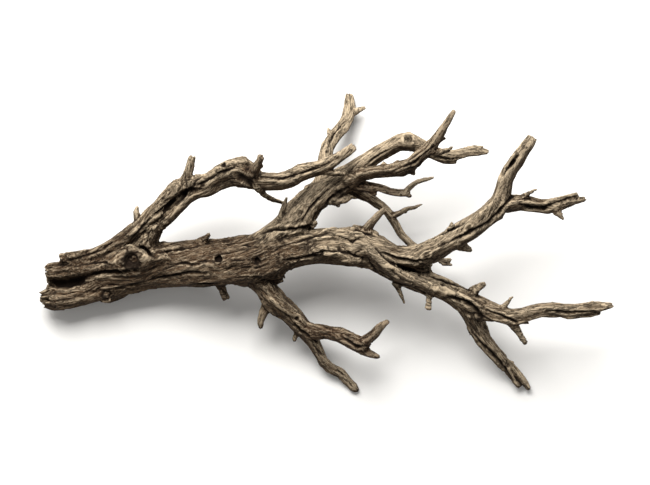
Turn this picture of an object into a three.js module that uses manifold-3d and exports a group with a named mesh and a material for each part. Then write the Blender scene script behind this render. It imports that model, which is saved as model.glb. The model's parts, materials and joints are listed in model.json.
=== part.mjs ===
// A weathered branch of driftwood, grown as one piece: a split and furrowed trunk end, four main limbs,
// and the stubs, thorns and twigs that the sea left on them.
// Millimetres, +Z up. It lies on a surface at Z 0, on the underside of the trunk and on two drooping tips.
// X runs along the trunk from its split end to the far tips, and Y across it.
import * as THREE from "three";
import { mergeVertices } from "three/addons/utils/BufferGeometryUtils.js";
import Module from "manifold-3d";

const wasm = await Module();
wasm.setup();

// How the wood weathered. Shares are of a limb's own radius.
const furrowShare = 0.09; // height of the widest ridges
const twistPerMm = 0.0035; // how fast the grain winds round a limb, in radians a millimetre
const lumpLength = 46; // spacing of the slow swellings along a limb
const jagShare = 0.45; // how ragged a broken tip is, along the limb
const bluntRadius = 6; // limbs thicker than this end in a blunt break
const ringShare = 0.95; // spacing of the rings along a limb, as a share of its radius
const leastSpacing = 9;
const mostSpacing = 24;
const groundDepth = 60; // thickness of the block that levels the low points
const leastEdge = 2.2; // edges shorter than this are closed up where strands cross

// Each limb is a row of [x, y, z, radius] from where it grows to its tip.
const trunkStrands = {
  trunkHeart: [
    [-421, -61, 30, 12],
    [-385, -58, 31, 19],
    [-357, -52, 33, 28],
    [-328, -47, 35, 35],
    [-290, -38, 42, 36],
    [-247, -34, 48, 32],
    [-202, -32, 56, 32],
    [-157, -31, 66, 33],
    [-112, -27, 76, 34],
    [-75, -18, 84, 32],
    [-37, -8, 92, 27],
    [-4, -5, 97, 24],
    [25, -4, 101, 25],
    [52, -5, 103, 25.5],
    [79, -14, 101, 25.5],
    [105, -30, 96, 23],
    [130, -45, 91, 17],
  ],
  topLedge: [
    [-400, -24, 56, 8.5],
    [-374, -22, 58, 11],
    [-345, -16, 60, 12],
    [-319, -5, 64, 12],
    [-301, 8, 70, 12],
    [-282, 22, 78, 11],
    [-265, 37, 87, 10.5],
    [-249, 51, 97, 11],
    [-236, 69, 106, 10],
    [-221, 84, 113, 10],
    [-202, 90, 119, 10],
    [-183, 92, 124, 9],
    [-165, 96, 129, 9],
  ],
  upperProng: [
    [-425, -41, 50, 9],
    [-411, -41, 50, 12],
    [-397, -41, 48, 14],
    [-380, -41, 46, 19],
    [-352, -39, 46, 23],
    [-322, -31, 48, 24],
    [-292, -24, 52, 22],
    [-262, -18, 56, 18],
    [-225, -17, 60, 17],
    [-180, -16, 68, 18],
    [-135, -13, 78, 17.5],
    [-94, -6, 88, 18],
    [-60, 0, 96, 15],
    [-30, 3, 102, 13],
    [7, 6, 107, 13],
    [37, 3, 111, 14],
    [60, -5, 112, 14],
    [80, -14, 110, 10],
  ],
  lowerProng: [
    [-432, -84, 34, 9],
    [-421, -84, 34, 13.5],
    [-404, -82, 33, 18],
    [-382, -79, 33, 19],
    [-360, -74, 34, 18],
    [-330, -67, 36, 19],
    [-300, -58, 42, 19],
    [-262, -48, 50, 18],
    [-217, -39, 60, 18],
    [-180, -37, 70, 18],
    [-142, -40, 78, 17],
    [-105, -42, 84, 16],
    [-75, -39, 87, 15],
    [-62, -45, 84, 9],
  ],
  lowEdgeAndFrontLimb: [
    [-340, -82, 25, 8],
    [-328, -79, 27, 12],
    [-310, -74, 29, 12],
    [-290, -62, 35, 11],
    [-262, -53, 43, 10],
    [-217, -52, 53, 12],
    [-180, -56, 62, 12],
    [-142, -52, 68, 11],
    [-112, -55, 70, 13],
    [-92, -67, 69, 16],
    [-82, -82, 66, 18],
    [-71, -94, 61, 17],
    [-55, -105, 55, 15.5],
    [-43, -119, 47, 14.5],
    [-29, -134, 40, 12.5],
    [-18, -151, 32, 10.5],
    [-10, -165, 26, 8.5],
    [-3, -180, 20, 8],
    [9, -190, 15, 8],
    [24, -198, 10, 8],
    [35, -210, 7, 7],
    [43, -219, 5, 7],
    [48, -225, 5, 5],
  ],
};

const leftLimb = {
  leftHeart: [
    [-282, -12, 56, 21],
    [-269, 9, 66, 18],
    [-256, 28, 74, 15],
    [-238, 45, 82, 14],
    [-224, 59, 90, 13],
    [-207, 72, 99, 14],
    [-187, 80, 109, 14],
    [-168, 88, 120, 16],
    [-151, 98, 130, 19],
    [-136, 103, 138, 21],
    [-124, 105, 143, 22],
    [-111, 99, 147, 18],
    [-97, 93, 149, 14],
    [-82, 91, 149, 13],
    [-67, 92, 148, 13],
    [-52, 97, 146, 13],
    [-37, 105, 143, 13],
    [-22, 109, 141, 12],
    [-7, 112, 139, 11],
    [7, 119, 137, 10],
    [22, 129, 135, 8],
    [34, 138, 133, 6],
    [42, 145, 132, 4.6],
  ],
  leftUnderStrand: [
    [-266, 20, 80, 10],
    [-246, 28, 88, 10],
    [-231, 39, 95, 10],
    [-219, 52, 101, 10],
    [-207, 64, 107, 10],
    [-191, 73, 113, 10],
    [-175, 78, 119, 10],
    [-158, 86, 126, 11],
    [-143, 92, 132, 11],
  ],
  leftCradleTip: [
    [-14, 109, 138, 8],
    [4, 105, 136, 6],
    [18, 103, 133, 5],
    [30, 102, 131, 3],
  ],
  leftTopStub: [
    [-210, 87, 114, 11],
    [-206, 102, 120, 8],
    [-201, 116, 126, 6.6],
    [-198, 128, 131, 6],
  ],
  leftThorn: [
    [-281, 34, 78, 7],
    [-284, 46, 82, 5],
    [-281, 56, 86, 2],
  ],
  leftFrontStub: [
    [-118, 91, 150, 12],
    [-107, 106, 166, 8.5],
    [-99, 117, 177, 7],
    [-93, 127, 186, 4.6],
  ],
  leftFrontStubFork: [
    [-101, 114, 175, 6],
    [-97, 129, 184, 3],
  ],
  leftFrontStubKnee: [
    [-103, 109, 170, 6],
    [-93, 113, 175, 4],
  ],
  leftHangingTwig: [
    [-110, 100, 160, 7],
    [-103, 86, 158, 5.5],
    [-95, 75, 145, 5],
    [-82, 66, 120, 4.2],
    [-68, 61, 92, 3.4],
    [-55, 57, 70, 2.8],
    [-45, 54, 57, 2],
  ],
};

const middleLimb = {
  middleHeart: [
    [-115, -6, 84, 14],
    [-84, 5, 88, 18],
    [-60, 18, 90, 22],
    [-44, 32, 91, 26],
    [-31, 47, 92, 23],
    [-18, 62, 93, 20],
    [-1, 76, 94, 22],
    [20, 88, 97, 20],
    [40, 103, 103, 16],
    [57, 119, 107, 13],
    [74, 131, 110, 12],
    [91, 141, 113, 12],
    [110, 151, 116, 12.5],
    [124, 152, 117, 14],
    [141, 145, 114, 11.5],
    [159, 136, 108, 9.5],
    [177, 130, 103, 9],
    [197, 132, 98, 8],
    [214, 136, 93, 7],
    [229, 137, 89, 7],
    [245, 136, 86, 4],
  ],
  archFlake: [
    [160, 128, 104, 4],
    [178, 122, 100, 5],
    [196, 120, 97, 3],
  ],
  archSplinter: [
    [208, 139, 95, 5],
    [224, 143, 93, 4],
    [237, 144, 91, 2.4],
  ],
  frontLimb: [
    [33, 92, 106, 13],
    [55, 103, 114, 11.5],
    [75, 106, 122, 9.5],
    [97, 108, 134, 10.5],
    [113, 110, 146, 11.5],
    [126, 116, 158, 10.5],
    [138, 127, 168, 10],
    [151, 137, 177, 9.5],
    [161, 148, 185, 8.5],
    [169, 160, 192, 7],
    [177, 173, 199, 6],
    [184, 184, 205, 5],
    [189, 193, 209, 3.6],
  ],
  frontLimbTwig: [
    [157, 134, 178, 6],
    [171, 134, 184, 5],
    [182, 137, 189, 3],
    [189, 142, 193, 1.8],
  ],
  frontLimbThorn: [
    [167, 152, 186, 6],
    [178, 154, 188, 2],
  ],
  frontLimbKnob: [
    [122, 112, 152, 8],
    [129, 106, 151, 6],
    [132, 101, 150, 3],
  ],
  frontLimbSpur: [
    [101, 111, 137, 6],
    [109, 121, 143, 2.2],
  ],
  fingerLimb: [
    [46, 88, 98, 10],
    [66, 83, 98, 8],
    [81, 82, 99, 6],
    [97, 76, 101, 5.4],
    [111, 74, 104, 5.6],
    [122, 74, 106, 5.4],
    [129, 69, 106, 3],
  ],
  fingerTwig: [
    [119, 75, 105, 5],
    [127, 83, 108, 5],
    [138, 91, 112, 4.4],
    [149, 94, 117, 3.8],
    [162, 97, 122, 2.6],
  ],
  fingerKnob: [
    [66, 82, 97, 6],
    [75, 72, 97, 4],
  ],
  underLimb: [
    [32, 86, 90, 14],
    [51, 77, 83, 9],
    [70, 65, 76, 8],
    [84, 56, 70, 7.5],
    [97, 43, 64, 7.5],
    [107, 26, 58, 6.6],
    [117, 10, 53, 6],
    [128, -1, 48, 6],
    [141, -10, 44, 6],
    [156, -19, 42, 5],
    [169, -25, 42, 4],
    [192, -26, 44, 2.8],
  ],
  underLimbFork: [
    [164, -23, 42, 4],
    [180, -31, 42, 3.2],
    [192, -33, 42, 2.4],
  ],
  underLimbTwig: [
    [100, 40, 64, 6],
    [112, 45, 72, 4.4],
    [124, 51, 78, 3.6],
    [135, 53, 82, 3],
    [146, 58, 86, 2.2],
  ],
  underLimbTwigFork: [
    [118, 46, 76, 2.4],
    [127, 43, 78, 1.4],
  ],
  droopingLimb: [
    [-4, 86, 88, 15],
    [-3, 106, 72, 11],
    [0, 125, 59, 10.5],
    [4, 144, 48, 10],
    [15, 160, 39, 9.5],
    [27, 174, 30, 10],
    [35, 189, 21, 9],
    [38, 205, 12, 9],
    [38, 217, 5, 7],
    [39, 224, 3, 5.5],
  ],
  droopingStub: [
    [39, 195, 17, 7],
    [50, 201, 20, 4.4],
    [60, 205, 24, 3.2],
  ],
  droopingThorn: [
    [8, 162, 41, 6],
    [4, 174, 46, 1.6],
  ],
  middleSideStub: [
    [-67, 30, 96, 8],
    [-64, 46, 104, 5],
    [-61, 57, 110, 4],
    [-57, 68, 116, 2.4],
  ],
};

const rightLimbs = {
  highLimb: [
    [50, 0, 106, 18],
    [82, -10, 109, 16],
    [100, -18, 110, 15],
    [120, -22, 111, 15.5],
    [139, -22, 114, 17],
    [157, -16, 120, 17],
    [176, -5, 127, 16],
    [195, 7, 133, 17],
    [215, 21, 139, 17],
    [232, 34, 144, 16],
    [248, 48, 149, 17],
    [259, 64, 154, 14.5],
    [263, 79, 159, 12],
    [266, 94, 165, 10.5],
    [273, 109, 171, 10.5],
    [283, 123, 178, 10.5],
    [292, 136, 185, 9.5],
    [301, 147, 190, 8],
    [305, 153, 193, 6.5],
  ],
  highForkTop: [
    [266, 56, 149, 13],
    [285, 61, 149, 11],
    [303, 61, 147, 9],
    [320, 56, 145, 8],
    [336, 57, 143, 7],
    [351, 63, 141, 6],
    [364, 67, 139, 5.4],
    [374, 71, 138, 4.4],
  ],
  highForkUnder: [
    [270, 54, 144, 11],
    [292, 56, 141, 8],
    [312, 53, 139, 7],
    [331, 50, 138, 7],
    [346, 53, 137, 7],
    [361, 59, 136, 6],
    [374, 62, 135, 5],
    [386, 66, 134, 3.8],
  ],
  highForkStub: [
    [289, 64, 150, 8],
    [303, 74, 158, 4],
    [313, 79, 163, 2.4],
  ],
  highForkSpur: [
    [342, 50, 138, 8],
    [350, 40, 137, 5],
    [355, 34, 136, 2.6],
  ],
  highUnderStub: [
    [190, 2, 126, 12],
    [206, -6, 120, 7.5],
    [217, -11, 116, 4],
  ],
  highThorn: [
    [187, 18, 140, 7],
    [188, 31, 149, 1.6],
  ],
  lowBough: [
    [80, -18, 94, 22],
    [100, -31, 92, 21],
    [118, -43, 90, 19],
    [136, -52, 88, 17],
    [157, -60, 86, 17],
    [180, -71, 83, 17],
    [199, -82, 79, 17.5],
    [213, -94, 74, 16.5],
    [224, -112, 66, 16],
    [230, -131, 57, 13.5],
    [240, -148, 47, 11.5],
    [253, -162, 37, 11],
    [267, -177, 28, 10.5],
    [276, -190, 22, 8],
  ],
  lowBoughTip: [
    [268, -180, 27, 9],
    [277, -191, 21, 7.5],
    [285, -203, 17, 6.5],
    [291, -212, 14, 5.5],
    [295, -219, 12, 4],
  ],
  lowBoughOuterTip: [
    [268, -175, 30, 8],
    [284, -190, 21, 7.5],
    [296, -203, 15, 7],
    [305, -214, 11, 5.5],
    [312, -224, 8, 4],
  ],
  lowBoughKnob: [
    [274, -180, 26, 7],
    [285, -184, 24, 4],
  ],
  lowBoughFlake: [
    [219, -104, 70, 9],
    [217, -121, 66, 6],
    [220, -138, 60, 3],
  ],
  reachingLimb: [
    [199, -78, 82, 16],
    [225, -90, 84, 15],
    [244, -98, 87, 14],
    [262, -106, 91, 13],
    [279, -111, 95, 13],
    [294, -110, 99, 12],
    [309, -105, 102, 11],
    [325, -101, 105, 10],
    [340, -99, 107, 9.5],
    [357, -101, 109, 9],
    [375, -100, 111, 8.5],
    [393, -98, 113, 9],
    [407, -96, 115, 8],
    [419, -95, 117, 6],
    [429, -94, 118, 4],
  ],
  reachingUnderStrand: [
    [322, -104, 102, 7],
    [338, -105, 104, 7],
    [352, -106, 106, 6],
    [364, -108, 107, 7],
    [382, -107, 108, 6],
    [397, -107, 109, 6],
    [410, -105, 110, 4],
  ],
  reachingBump: [
    [392, -95, 115, 6],
    [399, -89, 118, 3],
  ],
  reachingUnderStub: [
    [279, -117, 94, 9],
    [287, -129, 89, 6],
    [295, -142, 84, 4.8],
    [301, -151, 81, 3.6],
  ],
  reachingSplinter: [
    [290, -117, 96, 5],
    [306, -121, 95, 2],
  ],
  reachingTopStub: [
    [265, -98, 98, 5],
    [274, -88, 105, 3.4],
    [280, -81, 110, 2.4],
  ],
  boughTopStub: [
    [216, -80, 88, 9],
    [227, -69, 96, 6],
    [238, -62, 103, 4.6],
  ],
  surfaceRoot: [
    [55, -8, 118, 6],
    [68, -14, 126, 9],
    [81, -26, 127, 9],
    [95, -36, 122, 9],
    [112, -48, 116, 8.5],
    [130, -56, 111, 8],
    [146, -63, 107, 8],
    [160, -70, 103, 7.5],
    [176, -74, 99, 7],
    [192, -77, 95, 6],
  ],
  surfaceRootUnder: [
    [77, -32, 100, 8.5],
    [94, -43, 98, 8.5],
    [110, -54, 98, 8],
    [126, -61, 96, 8],
    [143, -68, 93, 8],
    [162, -76, 89, 7],
  ],
  rootSpike: [
    [106, -58, 97, 6],
    [113, -75, 93, 4.4],
    [119, -91, 90, 3],
  ],
  rootThorn: [
    [158, -71, 96, 7],
    [156, -85, 95, 5],
    [155, -98, 94, 3.4],
  ],
};

const smallLimbs = {
  frontFork: [
    [-35, -128, 45, 13],
    [-17, -134, 50, 12.5],
    [2, -134, 55, 11],
    [20, -138, 60, 11.5],
    [37, -147, 64, 12.5],
    [51, -154, 66, 12.5],
    [64, -157, 67, 10],
  ],
  frontForkHorn: [
    [54, -153, 67, 10],
    [67, -144, 72, 8],
    [78, -133, 78, 7],
    [87, -124, 84, 5.6],
    [95, -118, 88, 3.6],
  ],
  frontForkToe: [
    [50, -158, 64, 9],
    [68, -167, 63, 6.5],
    [81, -172, 62, 4],
  ],
  frontLimbSpike: [
    [-84, -92, 62, 10],
    [-93, -105, 58, 7.5],
    [-97, -117, 55, 6],
    [-97, -130, 53, 3.4],
  ],
  frontLimbSpikeLobe: [
    [-94, -110, 57, 6],
    [-101, -123, 57, 2.6],
  ],
  frontLimbPrick: [
    [-42, -133, 43, 6],
    [-47, -150, 38, 2],
  ],
  frontLimbFlake: [
    [-10, -174, 24, 5],
    [-5, -190, 20, 2],
  ],
  frontLimbChip: [
    [4, -186, 17, 5],
    [3, -195, 14, 2.2],
  ],
  boughTopTwig: [
    [56, 9, 101, 10],
    [64, 24, 108, 6.5],
    [72, 34, 113, 5.5],
    [82, 44, 118, 5],
    [89, 50, 121, 4],
  ],
  boughHump: [
    [-10, 8, 98, 11],
    [28, 10, 102, 12],
    [46, 13, 104, 12],
    [60, 12, 104, 12],
    [73, 3, 103, 12],
    [84, -9, 102, 9],
  ],
  forkLip: [
    [112, -28, 96, 13],
    [132, -33, 97, 11],
    [148, -35, 95, 9],
    [158, -37, 92, 6],
  ],
  forkWeb: [
    [222, -102, 74, 14],
    [238, -108, 80, 10.5],
    [253, -110, 84, 9],
  ],
  frontLimbBump: [
    [84, 108, 127, 9],
    [88, 119, 130, 3],
  ],
  trunkTopStub: [
    [-189, -4, 70, 10],
    [-180, 7, 79, 6],
    [-174, 12, 85, 5],
  ],
  trunkUnderStub: [
    [-161, -56, 61, 12],
    [-156, -71, 57, 7.5],
    [-151, -84, 53, 7],
  ],
  trunkRaggedHeel: [
    [-80, -44, 78, 12],
    [-67, -58, 74, 6],
  ],
  trunkCoil: [
    [-24, -14, 121, 6],
    [-4, -10, 126, 8],
    [16, -16, 127, 8],
    [34, -24, 122, 8],
    [50, -23, 118, 7],
  ],
  trunkBrow: [
    [-10, 8, 112, 8],
    [14, 14, 116, 8],
    [34, 8, 121, 8],
    [52, 8, 120, 8],
    [64, -2, 118, 6],
  ],
  lowerProngSplinter: [
    [-404, -77, 40, 10],
    [-420, -76, 39, 6],
    [-435, -79, 38, 3],
  ],
  lowerProngHeel: [
    [-398, -92, 29, 9],
    [-414, -97, 28, 6],
    [-428, -96, 27, 3.4],
  ],
  upperProngLobe: [
    [-398, -50, 50, 8],
    [-413, -52, 52, 6],
    [-422, -51, 53, 3],
  ],
  middleHeel: [
    [2, 70, 96, 12],
    [16, 64, 96, 9],
    [30, 66, 93, 7],
    [40, 70, 88, 5],
    [47, 67, 84, 3],
  ],
  middleHeelFlake: [
    [6, 70, 88, 9],
    [16, 61, 84, 5],
    [21, 55, 80, 3],
  ],
  greatKnotSwelling: [
    [-336, -34, 52, 17],
    [-312, -29, 59, 22],
    [-290, -26, 63, 24],
    [-268, -25, 63, 21],
    [-240, -23, 64, 17],
  ],
  frontLimbSliver: [
    [172, 166, 194, 5],
    [181, 178, 199, 4],
    [187, 184, 202, 2.6],
  ],
  highLimbSliver: [
    [292, 132, 184, 7],
    [303, 144, 188, 5],
    [310, 153, 190, 3],
  ],
  highLimbShard: [
    [288, 138, 186, 6],
    [297, 151, 192, 4.4],
    [301, 158, 194, 3],
  ],
  uprightSliver: [
    [33, 200, 15, 6],
    [34, 216, 8, 4.6],
    [34, 226, 5, 3],
  ],
  cradleSliver: [
    [22, 124, 135, 6],
    [36, 134, 133, 4.6],
    [46, 140, 132, 3],
  ],
  leftCrownPlate: [
    [-160, 104, 142, 8],
    [-145, 112, 150, 9],
    [-131, 118, 155, 9],
    [-119, 122, 156, 8],
  ],
  leftShelf: [
    [-186, 88, 121, 7],
    [-172, 96, 130, 7],
    [-158, 102, 137, 6],
    [-150, 106, 141, 4],
  ],
};

// Holes and worn hollows: [x, y, z, half length, half width, half depth, turn in degrees].
const hollows = {
  greatKnot: [-291, -26, 93, 15, 13, 13, 20],
  crotchHollow: [-271, -13, 84, 13, 4, 12, -34],
  buttonKnotHole: [-160, -25, 99, 7, 5, 7, 8],
  wormHole: [-103, -26, 110, 7, 4, 6, 4],
  innerShade: [-76, 3, 116, 11, 6, 6, 12],
  highSplit: [277, 116, 184, 9, 3, 6, 52],
  forkTrough: [118, -37, 112, 26, 5, 12, -22],
  trunkMouth: [-401, -61, 63, 40, 9, 22, 3],
};

// Round knots that stand proud: [x, y, z, radius].
const knobs = {
  buttonKnot: [-331, -80, 48, 10],
  leftShoulder: [-149, 110, 138, 9],
  cradledBead: [-240, 40, 92, 6],
  middleElbow: [-25, 79, 92, 7],
  crotchLip: [-19, 29, 98, 8],
};

// A closed three.js geometry as a solid that can be joined and cut.
function solidFrom(geometry) {
  const shape = geometry.clone();
  shape.deleteAttribute("normal");
  shape.deleteAttribute("uv");
  const merged = mergeVertices(shape, 1e-4);
  return new wasm.Manifold(
    new wasm.Mesh({
      numProp: 3,
      vertProperties: new Float32Array(merged.attributes.position.array),
      triVerts: new Uint32Array(merged.index.array),
    }),
  );
}

// Ridges and swellings of weathered wood at an angle round a limb, as a share of its radius.
function furrow(angle, along, seed) {
  const a = angle + along * twistPerMm;
  const wide = Math.cos(3 * a + seed);
  const middling = 0.8 * Math.cos(5 * a + 2.3 * seed);
  const narrow = 0.5 * Math.cos(8 * a + 4.1 * seed);
  const lump = 0.9 * Math.sin(along / lumpLength + seed) * Math.cos(a - seed);
  return furrowShare * (wide + middling + narrow + lump);
}

// More sides for a thicker limb.
function sidesFor(radius) {
  if (radius > 26) return 18;
  if (radius > 14) return 12;
  if (radius > 8) return 8;
  return radius > 5 ? 6 : 5;
}

// The rings of a limb along a smooth curve: where each sits, which way it faces and how wide it is.
function ringsAlong(rows) {
  const curve = new THREE.CatmullRomCurve3(rows.map(([x, y, z]) => new THREE.Vector3(x, y, z)));
  const spans = rows.length - 1;
  const rings = [];
  let along = 0;
  rows.slice(0, spans).forEach(([x, y, z, radius], i) => {
    const [nx, ny, nz, nextRadius] = rows[i + 1];
    const length = Math.hypot(nx - x, ny - y, nz - z);
    const step = THREE.MathUtils.clamp(ringShare * (radius + nextRadius), leastSpacing, mostSpacing);
    const count = Math.max(1, Math.round(length / step));
    for (let j = 0; j < count + (i === spans - 1 ? 1 : 0); j++) {
      const share = j / count;
      const u = Math.min((i + share) / spans, 1);
      rings.push({
        centre: curve.getPoint(u),
        tangent: curve.getTangent(u),
        radius: THREE.MathUtils.lerp(radius, nextRadius, THREE.MathUtils.smoothstep(share, 0, 1)),
        along: along + length * share,
      });
    }
    along += length;
  });
  return rings;
}

// A closed, furrowed and tapering limb: a cylinder bent ring by ring along its curve, with a ragged tip.
function limbSolid(rows, seed) {
  const rings = ringsAlong(rows);
  const last = rings[rings.length - 1];
  const blunt = last.radius >= bluntRadius;
  rings.push({
    centre: last.centre.clone().addScaledVector(last.tangent, (blunt ? 0.25 : 0.45) * last.radius),
    tangent: last.tangent,
    radius: (blunt ? 0.88 : 0.7) * last.radius,
    along: last.along,
  });
  const sides = sidesFor(Math.max(...rows.map((row) => row[3])));
  const steps = rings.length - 1;
  const geometry = new THREE.CylinderGeometry(1, 1, 1, sides, steps);
  const position = geometry.getAttribute("position");
  const up = new THREE.Vector3();
  const side = new THREE.Vector3();
  const point = new THREE.Vector3();
  for (let i = 0; i < position.count; i++) {
    const ring = rings[Math.round((position.getY(i) + 0.5) * steps)];
    const [across, towards] = [position.getX(i), position.getZ(i)];
    up.set(0, 0, 1).addScaledVector(ring.tangent, -ring.tangent.z).normalize();
    side.crossVectors(ring.tangent, up);
    const angle = Math.atan2(across, towards);
    const share = Math.min(1, Math.hypot(across, towards));
    const width = ring.radius * share * (1 + furrow(angle, ring.along, seed));
    point.copy(ring.centre);
    point.addScaledVector(side, Math.sin(angle) * width);
    point.addScaledVector(up, Math.cos(angle) * width);
    if (ring === rings[steps]) {
      point.addScaledVector(ring.tangent, jagShare * ring.radius * Math.cos(3 * angle + 5 * seed));
    }
    position.setXYZ(i, point.x, point.y, point.z);
  }
  return solidFrom(geometry);
}

function hollowSolid([x, y, z, halfLength, halfWidth, halfDepth, turn]) {
  const hollow = new THREE.SphereGeometry(1, 12, 8).scale(halfLength, halfWidth, halfDepth);
  hollow.rotateZ(THREE.MathUtils.degToRad(turn)).translate(x, y, z);
  return solidFrom(hollow);
}

function knobSolid([x, y, z, radius]) {
  return solidFrom(new THREE.SphereGeometry(radius, 10, 7).translate(x, y, z));
}

// Everything grows into one body. Where strands enclose a pocket of air it is filled.
function grow() {
  const limbs = { ...trunkStrands, ...leftLimb, ...middleLimb, ...rightLimbs, ...smallLimbs };
  const solids = Object.values(limbs).map((rows, i) => limbSolid(rows, 1 + 0.7 * i));
  solids.push(...Object.values(knobs).map(knobSolid));
  let wood = solids.reduce((sum, solid) => sum.add(solid));
  for (const hollow of Object.values(hollows)) {
    wood = wood.subtract(hollowSolid(hollow));
  }
  const ground = new THREE.BoxGeometry(1200, 700, groundDepth).translate(0, 0, -groundDepth / 2);
  wood = wood.subtract(solidFrom(ground));
  return wood.decompose().reduce((best, body) => (body.volume() > best.volume() ? body : best));
}

// Closes up the slivers along the joins. Both ends of a short edge move to its middle, unless a face
// would turn over.
function withoutSlivers({ vertProperties, triVerts }) {
  const points = [];
  for (let i = 0; i < vertProperties.length; i += 3) {
    points.push(new THREE.Vector3().fromArray(vertProperties, i));
  }
  const faces = [];
  for (let i = 0; i < triVerts.length; i += 3) {
    faces.push([...triVerts.subarray(i, i + 3)]);
  }
  const around = points.map(() => new Set());
  faces.forEach((face, i) => face.forEach((v) => around[v].add(i)));
  const neighbours = (v) => new Set([...around[v]].flatMap((i) => faces[i]).filter((w) => w !== v));
  const normalOf = (corners) => new THREE.Triangle(...corners).getNormal(new THREE.Vector3());
  const turnsOver = (v, end, middle) =>
    [...around[v]].some((i) => {
      if (faces[i].includes(end)) return false;
      const before = normalOf(faces[i].map((w) => points[w]));
      const after = normalOf(faces[i].map((w) => (w === v ? middle : points[w])));
      return before.dot(after) < 0.5;
    });
  const edges = faces.flatMap(([a, b, c]) => [[a, b], [b, c], [c, a]]).filter(([a, b]) => a < b);
  const lengthOf = ([a, b]) => points[a].distanceTo(points[b]);
  const short = edges.filter((edge) => lengthOf(edge) < leastEdge);
  short.sort((p, q) => lengthOf(p) - lengthOf(q));
  for (const [a, b] of short) {
    if (!around[a].size || !around[b].size || lengthOf([a, b]) >= leastEdge) continue;
    const near = neighbours(a);
    if (!near.has(b) || [...neighbours(b)].filter((v) => near.has(v)).length !== 2) continue;
    const middle = points[a].clone().lerp(points[b], 0.5);
    if (Math.min(points[a].z, points[b].z) < 1e-4) middle.z = 0;
    if (turnsOver(a, b, middle) || turnsOver(b, a, middle)) continue;
    points[a].copy(middle);
    for (const i of around[b]) {
      if (faces[i].includes(a)) {
        faces[i].forEach((v) => v !== b && around[v].delete(i));
        faces[i] = [];
      } else {
        faces[i] = faces[i].map((v) => (v === b ? a : v));
        around[a].add(i);
      }
    }
    around[b].clear();
  }
  const geometry = new THREE.BufferGeometry().setFromPoints(faces.flat().map((v) => points[v]));
  return mergeVertices(geometry, 1e-5);
}

const woodGeometry = withoutSlivers(grow().getMesh());
woodGeometry.computeBoundingBox();
const middle = woodGeometry.boundingBox.getCenter(new THREE.Vector3());
woodGeometry.translate(-middle.x, -middle.y, -woodGeometry.boundingBox.min.z);
woodGeometry.computeVertexNormals();

const driftwood = new THREE.Mesh(
  woodGeometry,
  new THREE.MeshStandardMaterial({ color: 0x8a7a66, roughness: 0.9, metalness: 0 }),
);
driftwood.name = "driftwood";

const group = new THREE.Group();
group.add(driftwood);
export default group;
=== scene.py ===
# A weathered driftwood branch lying on a pale floor, seen from straight above.
import json

import bpy
import numpy as np
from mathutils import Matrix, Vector, noise

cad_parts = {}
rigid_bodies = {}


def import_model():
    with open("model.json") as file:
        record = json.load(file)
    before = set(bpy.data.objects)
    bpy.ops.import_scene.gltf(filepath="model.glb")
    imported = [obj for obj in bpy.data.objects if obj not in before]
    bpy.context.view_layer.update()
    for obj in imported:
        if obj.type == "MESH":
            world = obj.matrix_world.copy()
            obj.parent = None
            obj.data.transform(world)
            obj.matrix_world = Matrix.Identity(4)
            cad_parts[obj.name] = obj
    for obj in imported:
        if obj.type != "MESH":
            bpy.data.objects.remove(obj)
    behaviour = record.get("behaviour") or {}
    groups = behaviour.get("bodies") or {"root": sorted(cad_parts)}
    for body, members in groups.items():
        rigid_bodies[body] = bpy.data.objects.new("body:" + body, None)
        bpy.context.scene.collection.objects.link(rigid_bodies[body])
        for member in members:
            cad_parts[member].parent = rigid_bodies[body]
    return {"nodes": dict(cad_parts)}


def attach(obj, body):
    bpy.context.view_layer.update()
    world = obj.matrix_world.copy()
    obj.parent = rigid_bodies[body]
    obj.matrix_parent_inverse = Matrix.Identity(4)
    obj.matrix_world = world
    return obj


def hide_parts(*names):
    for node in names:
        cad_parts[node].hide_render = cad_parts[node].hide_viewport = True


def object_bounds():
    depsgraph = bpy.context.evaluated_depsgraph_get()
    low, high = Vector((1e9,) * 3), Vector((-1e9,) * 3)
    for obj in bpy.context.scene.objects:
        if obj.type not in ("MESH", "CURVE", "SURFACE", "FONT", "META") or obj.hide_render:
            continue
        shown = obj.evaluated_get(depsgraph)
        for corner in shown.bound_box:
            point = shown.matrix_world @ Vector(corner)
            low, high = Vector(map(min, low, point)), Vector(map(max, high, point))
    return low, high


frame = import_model()
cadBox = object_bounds()
scene = bpy.context.scene
mm = 0.001

# What the shape of the branch is carved from.
branch = {
    "tablesAtMm": (2.6, 0.5, 0),   # where the tables below have their zero
    "voxelMm": 1.7,                # size of the fine surface's faces
    "trianglesKept": 190000,       # of the finished piece
    "smoothPasses": 4,             # rounds off the facets of the solid
    "twistPerMm": 0.0045,          # how fast the grain winds round a limb
    "furrowShare": 0.065,          # depth of the long furrows, as a share of the limb's radius
    "furrowMostMm": 1.6,
    "checkDepthMm": 1.2,           # drying checks
    "lumpShare": 0.075,            # slow swellings
    "blendShare": 0.45,            # how softly the grain passes from limb to limb
    "grainStretch": 18,            # how much longer than wide a furrow is
    "splitWidth": 0.8,             # splits, as shares of the sizes listed below
    "splitDepth": 0.8,
    "wanderMm": 1.6,               # how far a split or a ridge strays from its line
    "crumbMm": 1.3,                # relief of the crumbling patches
    "splinterMm": 3.5,             # how far the broken ends are worn back, with the share of the radius below
    "splinterShare": 0.55,
    "paintedLightFrom": (-0.1, 0.62, 0.78),  # painted light and shade fall from this way, the key light's: the side facing it is painted lighter, the side turned away darker
}

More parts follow.
